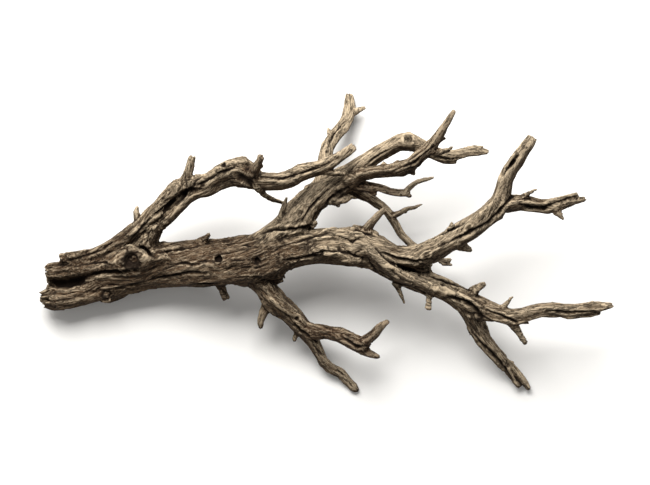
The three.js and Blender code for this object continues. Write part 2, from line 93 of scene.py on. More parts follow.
# Centre lines in millimetres, (x, y, z, radius), from where each limb grows to its tip.
limbLines = {
    "trunk": [(-430, -62, 42, 24), (-357, -52, 38, 32), (-290, -38, 46, 36), (-202, -32, 58, 34),
              (-112, -27, 76, 34), (-37, -8, 92, 28), (25, -2, 101, 25), (79, -12, 101, 27),
              (118, -32, 92, 22)],
    "leftLimb": [(-290, -25, 52, 24), (-267, 8, 68, 19), (-238, 45, 84, 17), (-187, 80, 109, 15),
                 (-136, 102, 138, 21), (-97, 93, 149, 14), (-52, 97, 146, 13), (-7, 112, 139, 11),
                 (22, 129, 135, 8), (45, 146, 132, 3)],
    "leftStub": [(-211, 84, 114, 11), (-198, 130, 131, 6)],
    "leftThorn": [(-282, 30, 77, 7), (-281, 58, 86, 2)],
    "darkStub": [(-118, 92, 152, 11), (-99, 117, 177, 7), (-92, 130, 187, 4)],
    "hangingTwig": [(-113, 95, 148, 8), (-93, 72, 130, 5), (-66, 60, 87, 3), (-44, 53, 56, 2)],
    "middleLimb": [(-84, 5, 88, 22), (-44, 32, 91, 26), (-18, 62, 93, 21), (20, 88, 97, 20),
                   (57, 119, 107, 13), (91, 141, 113, 12), (124, 152, 117, 14), (159, 137, 108, 10),
                   (214, 136, 93, 7), (247, 136, 86, 3)],
    "uprightLimb": [(-4, 86, 88, 15), (0, 125, 59, 10), (13, 161, 39, 10), (35, 189, 21, 9), (39, 228, 2, 6)],
    "frontLimb": [(33, 92, 106, 13), (75, 106, 122, 10), (114, 110, 146, 12), (155, 136, 177, 10),
                  (181, 172, 199, 6), (194, 196, 211, 2)],
    "fingerLimb": [(46, 88, 98, 10), (97, 76, 101, 5), (130, 69, 106, 3)],
    "fingerTwig": [(119, 75, 105, 5), (138, 91, 112, 4), (166, 98, 123, 2)],
    "underLimb": [(32, 86, 90, 14), (70, 65, 76, 8), (97, 43, 64, 7), (117, 10, 53, 6), (141, -10, 44, 6),
                  (192, -27, 44, 2)],
    "underTwig": [(99, 40, 64, 6), (124, 51, 78, 3), (148, 58, 87, 2)],
    "midStub": [(-67, 30, 96, 8), (-61, 57, 110, 4), (-56, 70, 117, 2)],
    "boughTwig": [(52, 8, 106, 14), (71, 31, 118, 7), (93, 50, 124, 4)],
    "highLimb": [(50, 0, 106, 18), (120, -22, 111, 16), (176, -5, 127, 16), (233, 34, 144, 16),
                 (263, 79, 159, 13), (283, 123, 178, 11), (308, 158, 194, 4)],
    "highFork": [(262, 54, 149, 14), (303, 58, 144, 12), (343, 54, 140, 10), (389, 68, 134, 4)],
    "lowBough": [(80, -18, 94, 22), (136, -50, 88, 18), (199, -82, 79, 18), (230, -130, 57, 15),
                 (266, -177, 28, 11), (312, -227, 8, 4)],
    "reachingLimb": [(199, -78, 82, 16), (262, -106, 91, 13), (325, -102, 105, 10), (393, -98, 113, 9),
                     (433, -94, 118, 3)],
    "surfaceRoot": [(56, -8, 118, 7), (72, -14, 124, 9), (99, -38, 115, 9), (148, -61, 101, 8),
                    (200, -82, 87, 6)],
    "lowerLimb": [(-112, -55, 70, 14), (-71, -94, 61, 17), (-31, -135, 40, 13), (-3, -180, 20, 8),
                  (35, -210, 7, 7), (50, -228, 4, 5)],
    "lowerFork": [(-35, -128, 45, 13), (37, -147, 64, 12), (66, -157, 67, 9)],
    "forkHorn": [(54, -153, 67, 10), (78, -133, 78, 7), (98, -115, 90, 2)],
    "lowerSpike": [(-82, -92, 62, 10), (-97, -117, 55, 6), (-96, -132, 53, 3)],
}

# Splits seen from above: the limbs they run on, half width and depth in millimetres, and their points.
splits = [
    (["trunk", "leftLimb"], 2.6, 5, [(-390, -29), (-360, -20), (-340, -13), (-321, 1), (-311, 8)]),
    (["trunk"], 9, 9, [(-432, -60), (-412, -61), (-390, -63), (-368, -58), (-352, -50)]),
    (["trunk"], 3.0, 7, [(-375, -60), (-355, -51), (-338, -45), (-308, -43), (-285, -40)]),
    (["trunk"], 2.4, 5, [(-308, -68), (-278, -62), (-248, -53), (-225, -49), (-202, -44), (-168, -46)]),
    (["trunk"], 2.4, 5, [(-255, -17), (-225, -12), (-202, -8), (-188, -5)]),
    (["trunk"], 2.4, 5, [(-146, -56), (-128, -53), (-100, -53), (-72, -58)]),
    (["trunk"], 2.0, 4, [(-202, -62), (-180, -62), (-160, -63)]),
    (["trunk"], 2.2, 4, [(-190, -29), (-176, -27)]),
    (["trunk"], 2.2, 4, [(-142, -26), (-128, -26), (-112, -26)]),
    (["trunk"], 2.4, 5, [(-60, -5), (-30, 5), (-8, 11), (15, 17)]),
    (["trunk", "surfaceRoot"], 2.8, 7, [(-63, -28), (-38, -25), (0, -14), (22, -11), (38, -17), (66, -26)]),
    (["trunk"], 2.2, 4, [(45, 19), (56, 14), (74, 11)]),
    (["trunk", "middleLimb"], 3.4, 9, [(-95, 14), (-75, 20), (-52, 19), (-30, 22), (-14, 26)]),
    (["leftLimb"], 2.4, 5, [(-293, 4), (-278, 19), (-262, 36)]),
    (["leftLimb"], 2.4, 5, [(-195, 84), (-180, 90), (-160, 102), (-135, 111)]),
    (["leftLimb"], 4.5, 8, [(-252, 44), (-238, 54), (-226, 66)]),
    (["leftLimb"], 5, 8, [(-222, 58), (-212, 70), (-206, 80), (-194, 92)]),
    (["leftLimb"], 6, 7, [(-130, 100), (-117, 92), (-105, 87)]),
    (["trunk", "leftLimb"], 4.5, 8, [(-283, -5), (-272, -11), (-262, -18), (-254, -23)]),
    (["trunk"], 1.8, 3, [(-330, -16), (-312, -14), (-300, -12)]),
    (["trunk"], 1.8, 3, [(-378, -36), (-352, -31), (-330, -30), (-318, -34)]),
    (["trunk"], 2.2, 4, [(-236, -34), (-216, -30), (-196, -33), (-178, -30)]),
    (["trunk"], 1.8, 3, [(-140, -8), (-118, -4), (-96, -8)]),
    (["trunk"], 1.8, 3, [(-128, -38), (-104, -38), (-84, -33)]),
    (["leftLimb"], 2.2, 4, [(-95, 97), (-62, 95), (-38, 102), (-10, 112)]),
    (["middleLimb"], 2.4, 5, [(-40, 24), (-22, 52), (-2, 74), (24, 92)]),
    (["middleLimb"], 2.4, 5, [(-24, 20), (-12, 42), (8, 66), (40, 86)]),
    (["middleLimb"], 1.6, 2.5, [(60, 116), (82, 132), (104, 143)]),
    (["middleLimb"], 2.0, 4, [(164, 128), (188, 124), (204, 126)]),
    (["highLimb"], 2.4, 5, [(158, 4), (178, 14), (206, 29)]),
    (["highLimb"], 2.8, 6, [(170, -5), (205, 10), (243, 31), (259, 47), (279, 70)]),
    (["highLimb"], 3.0, 8, [(263, 100), (276, 118), (284, 128)]),
    (["highFork"], 3.2, 9, [(288, 57), (303, 52), (325, 51), (345, 60), (374, 69)]),
    (["highLimb", "trunk"], 2.6, 6, [(84, -14), (108, -24), (134, -28), (160, -25)]),
    (["reachingLimb"], 2.4, 5, [(243, -101), (275, -114), (288, -120)]),
    (["reachingLimb"], 2.2, 4, [(330, -101), (360, -104), (405, -103)]),
    (["lowBough", "reachingLimb"], 4.0, 9, [(206, -86), (222, -96), (236, -112)]),
    (["lowBough", "reachingLimb"], 2.4, 5, [(184, -80), (205, -86), (222, -92)]),
    (["lowBough"], 3.0, 8, [(233, -149), (258, -174), (273, -193), (284, -210)]),
    (["lowBough", "surfaceRoot", "highLimb", "trunk"], 2.6, 4,
     [(80, -16), (96, -28), (112, -36), (130, -41), (146, -46)]),
    (["lowBough", "surfaceRoot", "trunk"], 2.0, 4,
     [(62, -22), (78, -44), (100, -58), (126, -66), (150, -76)]),
    (["lowBough", "surfaceRoot", "highLimb", "trunk"], 2.4, 4,
     [(75, -9), (87, -21), (98, -31), (111, -39), (126, -44)]),
    (["trunk", "surfaceRoot"], 1.8, 3.5, [(14, -8), (26, -7), (34, -13), (42, -18), (52, -12), (58, -10)]),
    (["trunk", "surfaceRoot"], 1.8, 3, [(20, 10), (33, 5), (41, 0), (47, 5), (58, 7)]),
    (["highLimb", "lowBough"], 2.4, 5, [(110, -24), (122, -26), (136, -29), (150, -34)]),
    (["lowBough", "reachingLimb"], 2.2, 4, [(160, -52), (182, -60), (204, -66), (222, -74)]),
    (["lowerLimb"], 2.4, 5, [(-46, -122), (-38, -131), (-12, -151)]),
    (["lowerFork"], 2.4, 5, [(24, -140), (46, -156), (66, -158)]),
    (["uprightLimb"], 1.5, 2.5, [(2, 140), (14, 164), (30, 184)]),
    (["frontLimb"], 2.0, 4, [(100, 106), (130, 118), (160, 142)]),
]

# Smooth light ridges that stand proud: limbs, half width and height in millimetres, and their points.
ridges = [
    (["trunk", "surfaceRoot"], 4, 4.5, [(12, 0), (24, 2), (33, -4), (40, -9), (49, -4), (60, -2), (67, -7)]),
    (["surfaceRoot", "lowBough", "trunk"], 6.5, 5,
     [(65, -10), (74, -19), (83, -30), (94, -39), (105, -47), (121, -54), (139, -60), (154, -67)]),
    (["surfaceRoot", "lowBough"], 4.5, 2.5, [(147, -62), (160, -62), (172, -61)]),
    (["surfaceRoot", "lowBough", "reachingLimb"], 4, 2, [(168, -66), (186, -72), (204, -80), (222, -88)]),
    (["trunk"], 4, 1.6, [(-200, -42), (-186, -35), (-170, -35), (-152, -43), (-136, -46)]),
    (["trunk"], 3.5, 1.4, [(-198, -50), (-182, -44), (-167, -46), (-154, -54)]),
    (["trunk"], 5, 1.4, [(-356, -58), (-344, -52), (-328, -51), (-310, -57)]),
    (["trunk"], 4.5, 1.2, [(-312, -10), (-296, -5), (-278, -9), (-267, -20), (-266, -34)]),
    (["highLimb"], 5, 1.6, [(120, -8), (150, 2), (180, 18), (208, 34)]),
    (["leftLimb"], 3, 2.5, [(-265, 31), (-250, 39), (-235, 45)]),
    (["leftLimb"], 3.5, 3, [(-227, 84), (-217, 72), (-219, 60)]),
    (["leftLimb"], 3.5, 2, [(-206, 100), (-186, 100), (-164, 108), (-150, 120)]),
    (["leftLimb"], 3, 2, [(-146, 118), (-128, 122), (-112, 118), (-100, 108)]),
    (["middleLimb"], 4, 1.6, [(-52, 34), (-32, 58), (-10, 82), (14, 98)]),
]

# Knots: the limb they sit on, place seen from above, radius, how deep the hole in it is (below zero: a
# raised button), and how dark it is.
knots = [
    ("trunk", -290, -27, 18, 3, 0.95),
    ("trunk", -331, -80, 9, -0.8, 0.75),
    ("trunk", -160, -24, 7, 3, 0.95),
    ("trunk", -224, -12, 5, 1.5, 0.5),
    ("leftLimb", -151, 116, 5.5, 3, 0.8),
    ("leftLimb", -241, 43, 5, -1.5, 0.5),
    ("leftLimb", -184, 86, 6, 2, 0.5),
    ("middleLimb", 124, 154, 8, 1, 0.7),
    ("middleLimb", 22, 74, 7, 3, 0.7),
    ("middleLimb", -38, 44, 6, 2, 0.5),
    ("uprightLimb", 3, 138, 4, 2, 0.6),
    ("lowerLimb", -42, -115, 4.5, 3, 0.8),
    ("surfaceRoot", 172, -74, 8, 1, 0.2),
    ("lowBough", 176, -64, 6, 2, 0.5),
    ("highLimb", 214, 20, 6, 1.5, 0.4),
    ("highLimb", 150, -20, 7, 2, 0.4),
]

# Patches where the wood is rotted and crumbling: place seen from above, radius, and how dark they are.
crumbling = [
    (-260, 6, 20, 0.3), (-292, -26, 12, 0.4), (-240, 28, 12, 0.5), (-204, 90, 10, 0.5), (-152, 112, 12, 0.4),
    (-108, 98, 10, 0.5), (-93, 4, 9, 0.6), (-65, 5, 11, 0.55), (-102, -27, 8, 0.85), (-161, -26, 9, 0.5),
    (-56, -40, 16, 0.4), (-30, 26, 14, 0.4), (-66, -22, 9, 0.5), (20, 74, 10, 0.6), (46, 12, 10, 0.4),
    (126, 108, 8, 0.4), (118, -36, 12, 0.3), (146, -40, 12, 0.4), (62, -158, 8, 0.4), (230, -108, 12, 0.4),
    (-72, -56, 12, 0.5), (200, -2, 8, 0.3), (272, -186, 10, 0.4), (-24, -8, 12, 0.5), (-6, -14, 5, 0.6),
    (-148, 4, 12, 0.3), (-330, -16, 10, 0.2), (-386, -30, 14, 0.2), (8, 58, 8, 0.5), (40, 104, 10, 0.4),
    (-40, 60, 10, 0.4),
]

# Limbs worn smoother than the rest.
smoothLimbs = ["uprightLimb", "highLimb", "reachingLimb", "surfaceRoot", "middleLimb"]

# How light each limb is: 1 is bleached, 0 dark and reddish.
limbTones = {
    "trunk": 0.27, "leftLimb": 0.47, "leftStub": 0.55, "leftThorn": 0.55, "darkStub": 0, "hangingTwig": 1,
    "middleLimb": 0.66, "uprightLimb": 0.66, "frontLimb": 0.27, "fingerLimb": 0, "fingerTwig": 0.6,
    "underLimb": 0.46, "underTwig": 0.34, "midStub": 0.7, "boughTwig": 0.25, "highLimb": 0.63,
    "highFork": 0.42, "lowBough": 0.62, "reachingLimb": 0.46, "surfaceRoot": 0.85, "lowerLimb": 0.4,
    "lowerFork": 0, "forkHorn": 0, "lowerSpike": 0.25,
}


def smoothStep(value, low, high):
    share = np.clip((value - low) / (high - low), 0, 1)
    return share * share * (3 - 2 * share)


# Furrows are wider on a thicker limb.
def furrowWidth(radius):
    return 3.4 + 0.2 * radius


# A centre line resampled every few millimetres, with a frame that doesn't spin along it.
def sampleLine(rows):
    rows = np.array(rows, float)
    ends = np.vstack([2 * rows[0] - rows[1], rows, 2 * rows[-1] - rows[-2]])
    samples = []
    for i in range(1, len(rows)):
        p0, p1, p2, p3 = ends[i - 1:i + 3]
        count = max(2, int(np.linalg.norm(p2[:3] - p1[:3]) / 5))
        for t in np.arange(count) / count:
            samples.append(0.5 * (2 * p1 + (p2 - p0) * t + (2 * p0 - 5 * p1 + 4 * p2 - p3) * t * t
                                  + (3 * p1 - p0 - 3 * p2 + p3) * t ** 3))
    samples.append(rows[-1])
    samples = np.array(samples)
    centre, radius = samples[:, :3], np.maximum(samples[:, 3], 2)
    tangent = np.gradient(centre, axis=0)
    tangent /= np.linalg.norm(tangent, axis=1)[:, None]
    up = np.zeros_like(centre)
    last = np.array([0.0, 0.0, 1.0])
    for i, along in enumerate(tangent):
        last = last - along * (last @ along)
        last = last / np.linalg.norm(last)
        up[i] = last
    steps = np.linalg.norm(np.diff(centre, axis=0), axis=1)
    middle = 0.5 * (radius[1:] + radius[:-1])

    def added(values):
        return np.concatenate([[0], np.cumsum(values)])

    return {"centre": centre, "radius": radius, "tangent": tangent, "up": up,
            "side": np.cross(tangent, up), "along": added(steps),
            "furrowPace": added(steps / furrowWidth(middle)), "lumpPace": added(steps / middle)}


limbNames = list(limbLines)
limbs = [sampleLine(rows) for rows in limbLines.values()]


# For each point the nearest sample of one limb, and its distance.
def nearestSample(points, limb):
    centre = limb["centre"]
    squared = (points ** 2).sum(1)[:, None] - 2 * points @ centre.T + (centre ** 2).sum(1)[None, :]
    nearest = (np.sqrt(np.maximum(squared, 0)) / limb["radius"][None, :]).argmin(1)
    return nearest, np.linalg.norm(points - centre[nearest], axis=1) / limb["radius"][nearest]


# Where points lie along and across their own limb: (along, up, side), wound with the grain. Also the limb's
# radius, how far is left to its tip, and how far along the point is in furrow widths and in limb radii.
def limbPlaces(points, owner):
    places = np.zeros((len(points), 3))
    radius, beyond, furrowPace, lumpPace = np.zeros((4, len(points)))
    for index, limb in enumerate(limbs):
        chosen = np.nonzero(owner == index)[0]
        if not len(chosen):
            continue
        own = points[chosen]
        centre = limb["centre"]
        near = ((own[:, None, :] - centre[None, :, :]) ** 2).sum(2).argmin(1)
        ahead = ((own - centre[near]) * limb["tangent"][near]).sum(1) > 0
        start = np.clip(near - np.where(ahead, 0, 1), 0, len(centre) - 2)
        run = centre[start + 1] - centre[start]
        t = ((own - centre[start]) * run).sum(1) / (run * run).sum(1)
        t = np.where((start > 0) & (start < len(centre) - 2), np.clip(t, 0, 1), t)

        def between(name):
            values = limb[name]
            share = t if values.ndim == 1 else t[:, None]
            return values[start] * (1 - share) + values[start + 1] * share

        offset = own - between("centre")
        along = between("along")
        up = (offset * between("up")).sum(1)
        side = (offset * between("side")).sum(1)
        turn = along * branch["twistPerMm"] + index
        places[chosen, 0] = along
        places[chosen, 1] = up * np.cos(turn) - side * np.sin(turn)
        places[chosen, 2] = up * np.sin(turn) + side * np.cos(turn)
        radius[chosen] = np.maximum(between("radius"), 2)
        beyond[chosen] = limb["along"][-1] - along
        furrowPace[chosen] = between("furrowPace")
        lumpPace[chosen] = between("lumpPace")
    return places, radius, beyond, furrowPace, lumpPace


# The solid's mesh, merged, made of small even faces and rounded.
def fineSurface():
    bpy.ops.object.select_all(action="DESELECT")
    solid = frame["nodes"]["driftwood"]
    piece = bpy.data.objects.new("weatheredBranch", solid.data.copy())
    scene.collection.objects.link(piece)
    piece.data.materials.clear()
    piece.select_set(True)
    bpy.context.view_layer.objects.active = piece
    bpy.ops.object.mode_set(mode="EDIT")
    bpy.ops.mesh.select_all(action="SELECT")
    bpy.ops.mesh.remove_doubles(threshold=0.00001)
    bpy.ops.object.mode_set(mode="OBJECT")
    remesh = piece.modifiers.new("evenFaces", "REMESH")
    remesh.mode = "VOXEL"
    remesh.voxel_size = branch["voxelMm"] * mm
    rounding = piece.modifiers.new("rounding", "LAPLACIANSMOOTH")
    rounding.iterations = branch["smoothPasses"]
    rounding.lambda_factor = 0.6
    rounding.use_volume_preserve = True
    for modifier in list(piece.modifiers):
        bpy.ops.object.modifier_apply(modifier=modifier.name)
    return piece


def vertexPlaces(mesh):
    values = np.empty(3 * len(mesh.vertices))
    mesh.vertices.foreach_get("co", values)
    return values.reshape(-1, 3)


def vertexNormals(mesh):
    values = np.empty(3 * len(mesh.vertices))
    mesh.vertex_normals.foreach_get("vector", values)
    return values.reshape(-1, 3)


# Each vertex moved halfway to the average of its neighbours, several times over.
def relaxed(values, edges, times):
    flat = values.reshape(len(values), -1).astype(float)
    count = np.bincount(edges.ravel(), minlength=len(flat))[:, None]
    for _ in range(times):
        total = np.zeros_like(flat)
        for column in range(flat.shape[1]):
            total[:, column] = (np.bincount(edges[:, 0], flat[edges[:, 1], column], len(flat))
                                + np.bincount(edges[:, 1], flat[edges[:, 0], column], len(flat)))
        flat = 0.5 * flat + 0.5 * total / np.maximum(count, 1)
    return flat.reshape(values.shape)


# Distance seen from above to a line of points, with how far along it, from 0 to 1.
def distanceToPath(points, path):
    best = np.full(len(points), 1e9)
    share = np.zeros(len(points))
    path = np.array(path, float)
    for i in range(len(path) - 1):
        start, run = path[i], path[i + 1] - path[i]
        t = np.clip(((points[:, :2] - start) @ run) / (run @ run), 0, 1)
        distance = np.linalg.norm(points[:, :2] - start - t[:, None] * run, axis=1)
        closer = distance < best
        best[closer] = distance[closer]
        share[closer] = (i + t[closer]) / (len(path) - 1)
    return best, share


# Noise of one size in millimetres, with a share of noise of a finer size added.
def noiseSum(points, coarse, share, fine):
    return np.array([noise.noise(Vector(p) / coarse) + share * noise.noise(Vector(p) / fine) for p in points])


# Furrows, checks and swellings of points on their limbs, in millimetres outwards.
def weathering(points, owner):
    places, radius, _, furrowPace, lumpPace = limbPlaces(points, owner)
    stretch = branch["grainStretch"]
    depth = np.clip(branch["furrowShare"] * radius, 0.45, branch["furrowMostMm"])
    height = np.zeros(len(places))
    for i, ((along, up, side), w, d, r) in enumerate(zip(places, furrowWidth(radius), depth, radius)):
        start = 5.3 * owner[i]
        broad = noise.noise(Vector((furrowPace[i] / (0.5 * stretch) + start, up / w, side / w)))
        narrow = noise.noise(Vector((furrowPace[i] / (0.27 * stretch) + start + 13,
                                     2 * up / w, 2 * side / w)))
        check = noise.noise(Vector((along / (stretch * 5) + start + 7, up / 5, side / 5)))
        fine = noise.noise(Vector((along / (stretch * 2) + start + 19, up / 2.6, side / 2.6)))
        lump = noise.noise(Vector((lumpPace[i] / 2.2 + start + 31, up / (1.6 * r), side / (1.6 * r))))
        gate = noise.noise(Vector((along / 55 + start + 43, up / 14, side / 14)))
        swell = noise.noise(Vector((along / 60 + start + 57, up / 20, side / 20)))
        calm = min(1.2, max(0.1, 0.62 + 1.9 * swell))
        grooves = 1.5 * max(0, 1 - abs(broad) / 0.13) + 0.8 * max(0, 1 - abs(narrow) / 0.15)
        height[i] = (d * (0.6 - calm * grooves + 0.8 * broad + 0.5 * calm * narrow)
                     - (branch["checkDepthMm"] * max(0, 1 - abs(check) / 0.12)
                        * min(1, r / 12) * max(0, 0.5 + 1.6 * gate))
                     + 0.5 * fine * min(1, r / 10) + branch["lumpShare"] * r * 2 * lump)
    return height


# How rotted each point is: 1 within a crumbling patch.
def rottenShare(points):
    rotten = np.zeros(len(points))
    for x, y, radius, _ in crumbling:
        away = np.linalg.norm(points[:, :2] - (x, y), axis=1)
        rotten = np.maximum(rotten, 1 - smoothStep(away / radius, 0.5, 1.3))
    return rotten[:, None]


# Where each knot lies on the upper side of its limb.
def knotPlaces(points, normals):
    places = []
    for name, x, y, *_ in knots:
        onTop = np.linalg.norm(points[:, :2] - (x, y), axis=1) < 3
        limb = limbs[limbNames.index(name)]
        near = np.linalg.norm(limb["centre"][:, :2] - (x, y), axis=1).argmin()
        level = limb["centre"][near, 2]
        fits = onTop & (np.abs(points[:, 2] - level) < 1.6 * limb["radius"][near]) & (normals[:, 2] > 0)
        places.append(np.array([x, y, points[fits, 2].max() if fits.any() else level]))
    return places


# The points as the grain counts them: pulled towards the knots, so that it bends round every one.
def bentGrain(points, places):
    bent = points.copy()
    for place, (_, _, _, radius, _, _) in zip(places, knots):
        away = points - place
        pull = np.exp(-(np.linalg.norm(away, axis=1) / (2.1 * radius)) ** 2)
        bent -= 0.75 * away * pull[:, None]
    return bent


# Proud ridges, then splits with a slight lip on either side. They change the height, and say how dark and how
# light each point is; the darkness along a split is painted shade.
def carveLines(points, normals, scores, height):
    dark, light = np.zeros((2, len(points)))
    facing = smoothStep(normals[:, 2], -0.15, 0.3)

    def alongPath(names, path, reach):
        on = scores[:, [limbNames.index(name) for name in names]].min(axis=1) < 1.5
        distance, share = distanceToPath(points, path)
        near = np.nonzero(on & (distance < reach))[0]
        wander = branch["wanderMm"] * noiseSum(points[near], 11, 0.5, 4)
        taper = np.sin(np.pi * np.clip(0.06 + 0.88 * share[near], 0, 1)) ** 0.6 * facing[near]
        return near, np.abs(distance[near] + wander), taper

    for names, halfWidth, rise, path in ridges:
        near, distance, taper = alongPath(names, path, 2.5 * halfWidth)
        hill = np.exp(-(distance / halfWidth) ** 2) * taper
        height[near] = height[near] * (1 - 0.7 * hill) + rise * hill
        light[near] = np.maximum(light[near], hill)
    for names, halfWidth, depth, path in splits:
        halfWidth, depth = halfWidth * branch["splitWidth"], depth * branch["splitDepth"]
        near, distance, taper = alongPath(names, path, 14)
        cut = np.clip(1 - distance / (1.3 * halfWidth), 0, 1) ** 0.9 * taper
        lip = min(0.2 * depth, 1) * np.exp(-((distance - 2.1 * halfWidth) / halfWidth) ** 2) * taper
        height[near] = height[near] * (1 - 0.5 * cut) + lip - depth * cut
        # painted shade: the split is marked dark where it is cut in
        dark[near] = np.maximum(dark[near], cut)
    return dark, light


# Knots: a raised collar round a worn bowl or a button, with uneven rings.
def carveKnots(points, places, height, dark):
    for place, (_, _, _, radius, hole, darkness) in zip(places, knots):
        away = np.linalg.norm(points - place, axis=1)
        near = np.nonzero(away < 2.4 * radius)[0]
        uneven = noiseSum(points[near], 0.6 * radius + 2, 0.5, 4)
        share = away[near] / radius * (1 + 0.3 * uneven)
        waves = np.cos(12 * share + 6 * uneven)
        collar = 0.13 * radius * np.exp(-((share - 1.15) / 0.28) ** 2)
        ring = 0.08 * radius * waves * np.exp(-(share / 0.9) ** 2)
        if hole > 0:
            height[near] += collar - hole * (1 - smoothStep(share, 0.3, 0.98)) + ring
            shade = (1 - smoothStep(share, 0.75, 1.02)) * (0.8 - 0.2 * waves + 0.7 * uneven)
        else:
            groove = np.exp(-((share - 0.85) / 0.2) ** 2)
            height[near] += collar - hole * (1 - smoothStep(share, 0.4, 0.8)) - 0.9 * groove + ring
            shade = groove + (1 - smoothStep(share, 0.6, 0.9)) * np.clip(0.4 + 1.2 * uneven, 0, 1)
        dark[near] = np.maximum(dark[near], darkness * np.clip(shade, 0, 1))


def carveCrumbs(points, normals, height, dark):
    for x, y, radius, darkness in crumbling:
        away = np.linalg.norm(points[:, :2] - (x, y), axis=1)
        near = np.nonzero((away < 1.6 * radius) & (normals[:, 2] > -0.3))[0]
        share = 1 - smoothStep(away[near] / radius, 0.4, 1.6)
        crumbs = noiseSum(points[near], 6, 0.7, 3)
        height[near] += share * branch["crumbMm"] * (crumbs - 0.9 * np.clip(1 - np.abs(crumbs) / 0.12, 0, 1))
        stained = share * darkness * np.clip(0.75 - 1.2 * crumbs, 0, 1.2)
        dark[near] = np.maximum(dark[near], stained)


# How far the broken ends of the limbs, and the trunk's thick end, are worn back into splinters.
def splinteredEnds(points, normals, owner):
    places, radius, beyond, _, _ = limbPlaces(points, owner)
    onTrunk = owner == limbNames.index("trunk")
    beyond[onTrunk] = places[onTrunk, 0]
    endShare = smoothStep(-beyond, -4 - 0.8 * radius, 1)
    splinter = np.array([noise.noise(Vector((p[1] / s, p[2] / s, p[0] / 40)))
                         for p, s in zip(places, 2.4 + 0.1 * radius)])
    outwards = np.zeros_like(points)
    for index, limb in enumerate(limbs):
        own = owner == index
        outwards[own] = limb["tangent"][nearestSample(points[own], limb)[0]] if own.any() else 0
    outwards[onTrunk] *= -1
    most = branch["splinterMm"] + branch["splinterShare"] * radius
    worn = endShare * np.clip(0.3 + 1.3 * splinter, 0, 1) * most
    return normals * (1.5 * endShare * splinter)[:, None] - outwards * worn[:, None], radius


def storeValues(mesh, name, values, kind="FLOAT", domain="POINT"):
    field = "value" if kind == "FLOAT" else "vector"
    mesh.attributes.new(name, kind, domain).data.foreach_set(field, values.ravel())


# Places along the grain for the material, worked out face by face so that none is torn across a face.
def storeGrain(mesh, grainPoints, order, scores):
    starts = np.empty(len(mesh.polygons), int)
    totals = np.empty(len(mesh.polygons), int)
    mesh.polygons.foreach_get("loop_start", starts)
    mesh.polygons.foreach_get("loop_total", totals)
    corners = np.empty(len(mesh.loops), int)
    mesh.loops.foreach_get("vertex_index", corners)
    leaders = np.repeat(corners[starts], totals)
    first, second = order[leaders, 0], order[leaders, 1]
    lead = scores[corners, first] - scores[corners, second]
    for name, owner in (("grainFirst", first), ("grainSecond", second)):
        places = limbPlaces(grainPoints[corners], owner)[0]
        places[:, 0] += 331 * owner
        storeValues(mesh, name, places, "FLOAT_VECTOR", "CORNER")
    blend = branch["blendShare"]
    storeValues(mesh, "grainShare", smoothStep(lead, -blend, blend), "FLOAT", "CORNER")


# Carves the fine surface and stores what the material reads from it.
def carve(piece):
    mesh = piece.data
    points = vertexPlaces(mesh) / mm - branch["tablesAtMm"]
    normals = vertexNormals(mesh)
    edges = np.empty(2 * len(mesh.edges), int)
    mesh.edges.foreach_get("vertices", edges)
    edges = edges.reshape(-1, 2)

    points += (relaxed(points, edges, 8) - points) * rottenShare(points)
    places = knotPlaces(points, normals)
    grainPoints = bentGrain(points, places)

    # the two nearest limbs of every point, and how much the second counts
    scores = np.stack([nearestSample(points, limb)[1] for limb in limbs], axis=1)
    order = np.argsort(scores, axis=1)[:, :2]
    rows = np.arange(len(points))
    gap = scores[rows, order[:, 1]] - scores[rows, order[:, 0]]
    mix = 0.5 * (1 - smoothStep(gap, 0, branch["blendShare"]))
    print("limbs found for", len(points), "points")

    height = np.zeros(len(points))
    for column, share in ((0, 1 - mix), (1, mix)):
        used = share > 0.002
        height[used] += share[used] * weathering(grainPoints[used], order[used, column])
    smooth = np.isin(order[:, 0], [limbNames.index(name) for name in smoothLimbs])
    height *= np.where(smooth, 0.75, 1)
    print("furrows carved")

    dark, light = carveLines(points, normals, scores, height)
    carveKnots(points, places, height, dark)
    carveCrumbs(points, normals, height, dark)
    ends, radius = splinteredEnds(points, normals, order[:, 0])
    moved = points + normals * height[:, None] + ends

    # the low points stay level with the floor, and nothing leaves the solid's box
    seat = smoothStep(points[:, 2], 0.5, 4)[:, None]
    moved = points * (1 - seat) + moved * seat
    moved = np.clip(moved + branch["tablesAtMm"], np.array(cadBox[0]) / mm, np.array(cadBox[1]) / mm)
    mesh.vertices.foreach_set("co", (moved * mm).ravel())
    mesh.update()
    print("knots, splits and broken ends carved")

    # how deep each point lies in a hollow, and the colour of its limb, lighter on the trunk towards the bough
    normals = vertexNormals(mesh)
    near, far = relaxed(moved, edges, 4), relaxed(moved, edges, 24)
    # the hollow value is painted into the colour: shade with dirt in the hollows, a highlight on the ridges
    hollow = 0.9 * ((near - moved) * normals).sum(1) + 0.55 * ((far - moved) * normals).sum(1)
    hollow = hollow / (0.5 + 0.06 * np.minimum(radius, 30)) - 0.1 * light
    perLimb = np.array([limbTones[name] for name in limbNames])
    tones = relaxed(perLimb[order[:, 0]] * (1 - mix) + perLimb[order[:, 1]] * mix, edges, 12)
    onTrunk = order[:, 0] == limbNames.index("trunk")
    tones += 0.18 * light + 0.3 * onTrunk * smoothStep(points[:, 0], -75, 5)
    # painted light and shade: how far each point faces the key light, stored so the material paints that side
    # lighter and the far side darker
    facing = relaxed(normals, edges, 5) @ np.array(branch["paintedLightFrom"])
    storeValues(mesh, "hollow", hollow)
    storeValues(mesh, "splitShadeKnotsAndRot", dark)
    storeValues(mesh, "tone", tones)
    storeValues(mesh, "keyLightFacing", smoothStep(facing, -0.35, 0.9))
    storeGrain(mesh, grainPoints, order, scores)


# sRGB hex to the linear colour that a socket takes.
def linearColour(code):
    parts = [int(code[i:i + 2], 16) / 255 for i in (1, 3, 5)]
    return [p / 12.92 if p <= 0.04045 else ((p + 0.055) / 1.055) ** 2.4 for p in parts] + [1]


